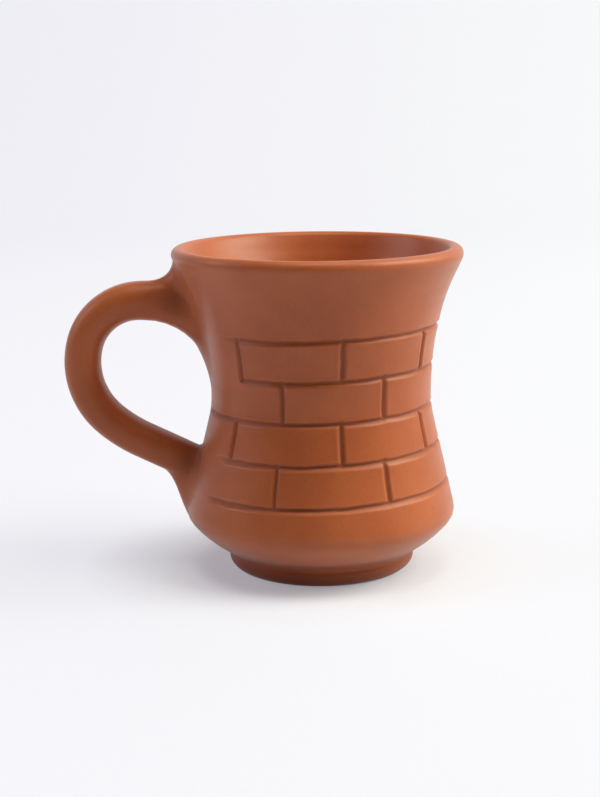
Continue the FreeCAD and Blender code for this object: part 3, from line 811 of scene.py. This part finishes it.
def make_clay_group():
    """Fired clay: colour, roughness and height from the place on the object."""
    tree = bpy.data.node_groups.new("fired_clay", "ShaderNodeTree")
    sockets = tree.interface
    for name, way, kind in (("Pale", "INPUT", "Color"), ("Deep", "INPUT", "Color"),
                            ("Mortar", "INPUT", "Float"), ("Burnish", "INPUT", "Float"),
                            ("Color", "OUTPUT", "Color"), ("Roughness", "OUTPUT", "Float"),
                            ("Height", "OUTPUT", "Float")):
        sockets.new_socket(name, in_out=way, socket_type="NodeSocket" + kind)
    given = tree.nodes.new("NodeGroupInput").outputs
    place = add_node(tree, "ShaderNodeTexCoord").outputs["Object"]
    flat = add_node(tree, "ShaderNodeMapping", {"Vector": place, "Scale": RING_STRETCH})

    mottle = remap(tree, scaled_noise(tree, place, MOTTLE_SCALE, 4), 0.36, 0.64)
    cloud = remap(tree, scaled_noise(tree, place, CLOUD_SCALE, 2), 0.35, 0.65)
    grain = scaled_noise(tree, place, GRAIN_SCALE, 3)
    rings = scaled_noise(tree, flat.outputs[0], RING_SCALE, 3)
    specks = add_node(tree, "ShaderNodeTexVoronoi", {"Vector": place, "Scale": SPECK_SCALE})
    speck = remap(tree, specks.outputs["Distance"], 0.05, 0.13, 1, 0)
    chosen = add_node(tree, "ShaderNodeSeparateColor", {0: specks.outputs["Color"]})
    speck = times(tree, speck, remap(tree, chosen.outputs[0], 0.86, 0.9))

    tone = calculate(tree, "ADD", times(tree, mottle, MOTTLE_PART),
                     times(tree, cloud, CLOUD_PART))
    colour = mix_colours(tree, tone, given["Deep"], given["Pale"])
    lift = remap(tree, grain, 0.3, 0.7, 0.93, 1.07)
    colour = mix_colours(tree, 1.0, colour, colour_of(tree, [lift] * 3), "MULTIPLY")
    colour = mix_colours(tree, times(tree, speck, SPECK_PART), colour, SPECK_SHADE)
    # Painted shade: the deep core of the mortar lines and the hollows is drawn darker.
    core = times(tree, given["Mortar"], given["Mortar"])
    colour = mix_colours(tree, times(tree, core, GROOVE_SHADE_PART), colour, GROOVE_PAINTED_SHADE)

    rough = remap(tree, grain, 0.3, 0.7, 0.50, 0.62)
    rough = calculate(tree, "SUBTRACT", rough, times(tree, given["Burnish"], BURNISH_GAIN))
    rough = calculate(tree, "ADD", rough, times(tree, given["Mortar"], MORTAR_LOSS))
    rough = calculate(tree, "ADD", rough, remap(tree, rings, 0.35, 0.65, -0.03, 0.03))
    height = calculate(tree, "ADD", times(tree, grain, GRAIN_HEIGHT),
                       times(tree, rings, RING_HEIGHT))
    height = calculate(tree, "SUBTRACT", height, times(tree, speck, SPECK_HEIGHT))
    add_node(tree, "NodeGroupOutput", {"Color": colour, "Roughness": rough, "Height": height})
    return tree


CLAY = make_clay_group()
print("clay group: %d nodes" % len(CLAY.nodes))

# %% [markdown]
# The surface was burnished with the back of a spoon, which leaves a satin sheen and no
# gloss: the highlights are wide and weak, and the sides brighten where they turn away.  A
# Principled shader with a middling roughness does the first, and a weak sheen adds the bloom
# on the sides.  The material also reads how deep each vertex was pressed, so that the mortar
# lines and the hollows get painted shade in their colour and a duller surface than the rest.
# The foot wasn't burnished, and painted shade darkens it softly towards the table, where the
# table keeps light from it.  The corner above it, under the belly, gets painted shade too,
# so the cup is drawn darker there between two heights of its own.

# %% The materials
GRAIN_DEPTH = 0.05 * MM
GRAIN_STRENGTH = 0.5
BLOOM_SHARE, BLOOM_ROUGHNESS, BLOOM_TINT = 0.6, 0.45, (1.0, 0.83, 0.78, 1)
# Painted shade: the colour darkens below the higher of two heights, on the foot towards the
# table and on the cup in the corner under the belly.
FOOT_PAINTED_SHADE = (2.0 * MM, 8.0 * MM, (0.56, 0.49, 0.38))
CORNER_PAINTED_SHADE = (7.2 * MM, 9.8 * MM, (0.6, 0.4, 0.22))


def make_clay(name, pale, deep, burnish, shine=0.38, painted_shade=None):
    """A material of this clay; the last argument gives two heights and the tint of the painted
    shade below the lower one.
    """
    material = bpy.data.materials.new(name)
    material.use_nodes = True
    tree = material.node_tree
    tree.nodes.clear()
    # How far each vertex was pressed; the clay group paints shade in the lines and hollows
    # from it, and roughens them.
    pressed = add_node(tree, "ShaderNodeAttribute", attribute_name="mortar").outputs["Fac"]
    clay = add_node(tree, "ShaderNodeGroup", node_tree=CLAY)
    clay.inputs["Pale"].default_value = (*pale, 1)
    clay.inputs["Deep"].default_value = (*deep, 1)
    clay.inputs["Burnish"].default_value = burnish
    tree.links.new(pressed, clay.inputs["Mortar"])
    colour = clay.outputs["Color"]
    # Painted shade: below the higher height the colour is multiplied down towards the tint.
    if painted_shade:
        low, high, tint = painted_shade
        place = add_node(tree, "ShaderNodeTexCoord").outputs["Object"]
        height = add_node(tree, "ShaderNodeSeparateXYZ", {0: place}).outputs["Z"]
        painted_shade_tint = colour_of(tree, [remap(tree, height, low, high, tone, 1.0) for tone in tint])
        colour = mix_colours(tree, 1.0, colour, painted_shade_tint, "MULTIPLY")
    bump = add_node(tree, "ShaderNodeBump", {
        "Strength": GRAIN_STRENGTH, "Distance": GRAIN_DEPTH, "Height": clay.outputs["Height"]})
    shader = add_node(tree, "ShaderNodeBsdfPrincipled", {
        "Base Color": colour, "Roughness": clay.outputs["Roughness"],
        "Normal": bump.outputs[0], "IOR": 1.5, "Specular IOR Level": shine,
        "Sheen Weight": BLOOM_SHARE * shine, "Sheen Roughness": BLOOM_ROUGHNESS,
        "Sheen Tint": BLOOM_TINT})
    add_node(tree, "ShaderNodeOutputMaterial", {"Surface": shader.outputs[0]})
    return material


burnished = make_clay("burnished_clay", (0.53, 0.132, 0.041), (0.43, 0.096, 0.0275), 1.0,
                      painted_shade=CORNER_PAINTED_SHADE)
handled = make_clay("handle_clay", (0.52, 0.128, 0.040), (0.42, 0.094, 0.0265), 0.9)
slipped = make_clay("slip_clay", (0.525, 0.130, 0.0405), (0.425, 0.095, 0.027), 0.9)
turned = make_clay("foot_clay", (0.53, 0.130, 0.040), (0.43, 0.094, 0.027), 0.4, shine=0.34,
                   painted_shade=FOOT_PAINTED_SHADE)
print("materials:", [material.name for material in bpy.data.materials])

# %% [markdown]
# Each mesh becomes a piece that stands for its clay in the frame.  The feather edges of the
# slip are marked sharp, so that the hidden faces behind them don't bend the shading of the
# ones that show.

# %% Finish the pieces
SHARP = radians(55)


def finish_piece(bm, name, node, material):
    """Turn a bmesh into a piece that replaces a node of the frame."""
    mesh = bpy.data.meshes.new(name)
    bm.to_mesh(mesh)
    bm.free()
    mesh.materials.append(material)
    mesh.shade_smooth()
    mesh.set_sharp_from_angle(angle=SHARP)
    piece = bpy.data.objects.new(name, mesh)
    bpy.context.scene.collection.objects.link(piece)
    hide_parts(node)
    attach(piece, "root")
    print("%-16s %6d faces, %s" % (name, len(mesh.polygons),
                                   [round(side / MM, 1) for side in piece.dimensions]))
    return piece


finish_piece(cup_bm, "carved_cup", "cup_body", burnished)
finish_piece(foot_bm, "turned_foot", "foot_ring", turned)
finish_piece(seam_bm, "foot_slip", "foot_slip_seam", turned)
finish_piece(handle_bm, "pulled_ear", "handle", handled)
finish_piece(upper_bm, "upper_slip", "upper_slip_joint", slipped)
finish_piece(lower_bm, "lower_slip", "lower_slip_joint", slipped)

# %% [markdown]
# The portrait was taken on a sheet of white paper that rises behind the mug.  The sheet is
# a strip whose floor turns up through a wide curve, so that no horizon shows.  In the
# picture the paper is almost evenly white and its shadow is faint except close to the foot,
# so what the eye and the reflections see is part plain paper and part even white, and more
# of the plain paper near the mug; to the mug it is a matt sheet like any other.

# %% The white sheet
SHEET_FRONT = -1.2
SHEET_BEND = 1.1
SHEET_CURVE = 0.7
SHEET_TOP = 1.3
SHEET_HALF = 2.6
CURVE_PARTS = 24
PAPER = 0.68
TOOTH_SCALE = 700
PAPER_TINT = (0.85, 0.88, 1.0)
SHADE_NEAR, SHADE_FAR = 0.66, 0.26
NEAR, FAR = 0.034, 0.075
GLOW_NEAR, GLOW_FAR = 0.29, 0.705
# Painted light: the glow is a little dimmer and cooler on the left than on the right, as if
# the light from the right fell off across the sheet.
GLOW_LEFT, GLOW_RIGHT = (0.935, 0.925, 1.0, 1), (0.965, 0.965, 1.0, 1)
LEFT_SIDE, RIGHT_SIDE = -0.25, 0.2


def make_sheet():
    """A strip of paper: a flat floor, a quarter turn and a wall."""
    bm = bmesh.new()
    vert = bm.verts.new((-SHEET_HALF, SHEET_FRONT, 0))
    vert = bmesh.ops.extrude_vert_indiv(bm, verts=[vert])["verts"][0]
    vert.co = (-SHEET_HALF, SHEET_BEND, 0)
    turned_up = bmesh.ops.spin(bm, geom=[vert], cent=(0, SHEET_BEND, SHEET_CURVE),
                               axis=(1, 0, 0), angle=pi / 2, steps=CURVE_PARTS,
                               use_duplicate=False)["geom_last"]
    vert = [item for item in turned_up if isinstance(item, bmesh.types.BMVert)][0]
    vert = bmesh.ops.extrude_vert_indiv(bm, verts=[vert])["verts"][0]
    vert.co.z = SHEET_TOP
    strip = bmesh.ops.extrude_edge_only(bm, edges=bm.edges[:])["geom"]
    for item in strip:
        if isinstance(item, bmesh.types.BMVert):
            item.co.x += 2 * SHEET_HALF
    bmesh.ops.recalc_face_normals(bm, faces=bm.faces[:])
    mesh = bpy.data.meshes.new("white_sheet")
    bm.to_mesh(mesh)
    bm.free()
    mesh.shade_smooth()
    sheet = bpy.data.objects.new("white_sheet", mesh)
    bpy.context.scene.collection.objects.link(sheet)
    return sheet


def make_paper():
    """Matt white paper with a trace of tooth, evened out for the eye."""
    material = bpy.data.materials.new("white_paper")
    material.use_nodes = True
    tree = material.node_tree
    tree.nodes.clear()
    place = add_node(tree, "ShaderNodeTexCoord").outputs["Object"]
    tooth = remap(tree, scaled_noise(tree, place, TOOTH_SCALE, 3), 0.3, 0.7, 0.98, 1.02)
    rays = add_node(tree, "ShaderNodeLightPath").outputs
    seen = calculate(tree, "MAXIMUM", rays["Is Camera Ray"], rays["Is Glossy Ray"])
    seen = calculate(tree, "MAXIMUM", seen, rays["Is Transmission Ray"])
    away = add_node(tree, "ShaderNodeVectorMath", {0: place}, operation="LENGTH")
    away = away.outputs["Value"]
    shade = remap(tree, away, NEAR, FAR, SHADE_NEAR, SHADE_FAR)
    shade = add_node(tree, "ShaderNodeMix", {0: seen, 2: PAPER, 3: shade}).outputs[0]
    level = times(tree, tooth, shade)
    white = colour_of(tree, [times(tree, level, tint) for tint in PAPER_TINT])
    matt = add_node(tree, "ShaderNodeBsdfDiffuse", {"Color": white})
    # Painted light: the glow's colour runs from the dimmer left tint to the brighter right
    # tint across the sheet.
    across = add_node(tree, "ShaderNodeSeparateXYZ", {0: place}).outputs["X"]
    to_right = remap(tree, across, LEFT_SIDE, RIGHT_SIDE)
    tint = mix_colours(tree, to_right, GLOW_LEFT, GLOW_RIGHT)
    glow = times(tree, remap(tree, away, NEAR, FAR, GLOW_NEAR, GLOW_FAR), seen)
    even = add_node(tree, "ShaderNodeEmission", {"Color": tint, "Strength": glow})
    both = add_node(tree, "ShaderNodeAddShader", {0: matt.outputs[0], 1: even.outputs[0]})
    add_node(tree, "ShaderNodeOutputMaterial", {"Surface": both.outputs[0]})
    return material


sheet = make_sheet()
sheet.data.materials.append(make_paper())
print("sheet:", [round(side, 2) for side in sheet.dimensions])

# %% [markdown]
# The light comes from the right and a little from behind: the right flank of the waist
# glows, the left inside of the bowl is lit over the rim, the front stays deep in tone, and
# the shadow lies long and faint to the left.  The lamps are large and stand well back, so
# that the edges of light and shade are soft.  The rest of the room is almost dark to the mug,
# and white to the eye, like the sheet.  Each lamp is kept as its azimuth and elevation in
# degrees, its power in watts and its colour.

# %% Light the mug
LAMP_DISTANCE = 2.4
LAMP_SIDE = 1.4
WARM, COOL = (1.0, 0.98, 0.8), (0.97, 0.93, 1.0)
LAMPS = {
    "key": (80, 45, 44.5, WARM),
    "key_low": (99, 28, 25.0, WARM),
    "top": (20, 82, 21.0, WARM),
    "back": (150, 50, 7.0, WARM),
    "left": (-90, 28, 16.0, COOL),
}
ROOM_GLOW, ROOM_WHITE = 0.016, 0.95


def aim(place, target):
    """The turn that points an object's -Z axis from a place at a target."""
    return (target - place).to_track_quat("-Z", "Y")


def make_lamp(name, azimuth, elevation, power, colour):
    """A square soft lamp that faces the mug; azimuth 0 is the front and 90 the right."""
    level = cos(radians(elevation))
    direction = Vector((sin(radians(azimuth)) * level, -cos(radians(azimuth)) * level,
                        sin(radians(elevation))))
    middle = Vector((0, 0, CUP_TOP / 2))
    light = bpy.data.lights.new(name, "AREA")
    light.shape = "SQUARE"
    light.size = LAMP_SIDE
    light.energy = power
    light.color = colour
    lamp = bpy.data.objects.new(name, light)
    lamp.location = middle + direction * LAMP_DISTANCE
    lamp.rotation_mode = "QUATERNION"
    lamp.rotation_quaternion = aim(lamp.location, middle)
    bpy.context.scene.collection.objects.link(lamp)
    return lamp


def make_room():
    """A room that is almost dark to the mug and white behind it to the eye."""
    world = bpy.data.worlds.new("dim_room")
    world.use_nodes = True
    tree = world.node_tree
    tree.nodes.clear()
    seen = add_node(tree, "ShaderNodeLightPath").outputs["Is Camera Ray"]
    room = add_node(tree, "ShaderNodeBackground", {
        "Color": GLOW_RIGHT, "Strength": remap(tree, seen, 0, 1, ROOM_GLOW, ROOM_WHITE)})
    add_node(tree, "ShaderNodeOutputWorld", {"Surface": room.outputs[0]})
    return world


for name, (azimuth, elevation, power, colour) in LAMPS.items():
    make_lamp(name, azimuth, elevation, power, colour)
bpy.context.scene.world = make_room()
print("lamps:", list(LAMPS))

# %% [markdown]
# The camera stands half a metre in front of the mug and a little above its rim.  Its place
# and the length of its lens were found by matching the ellipses of the rim and the foot.

# %% The camera
CAMERA_PLACE = Vector((0, -0.45219, 0.14408))
CAMERA_TARGET = Vector((-0.00617, 0, 0.05193))
CAMERA_ROLL = radians(-0.706)
LENS = 67.75

camera_data = bpy.data.cameras.new("portrait_lens")
camera_data.lens = LENS
camera_data.sensor_width = 36.0
camera_data.clip_start = 0.01
camera = bpy.data.objects.new("portrait_camera", camera_data)
camera.location = CAMERA_PLACE
camera.rotation_mode = "QUATERNION"
roll = Quaternion((0, 0, 1), CAMERA_ROLL)
camera.rotation_quaternion = aim(CAMERA_PLACE, CAMERA_TARGET) @ roll
bpy.context.scene.collection.objects.link(camera)
bpy.context.scene.camera = camera
bpy.context.scene.view_settings.view_transform = "Standard"
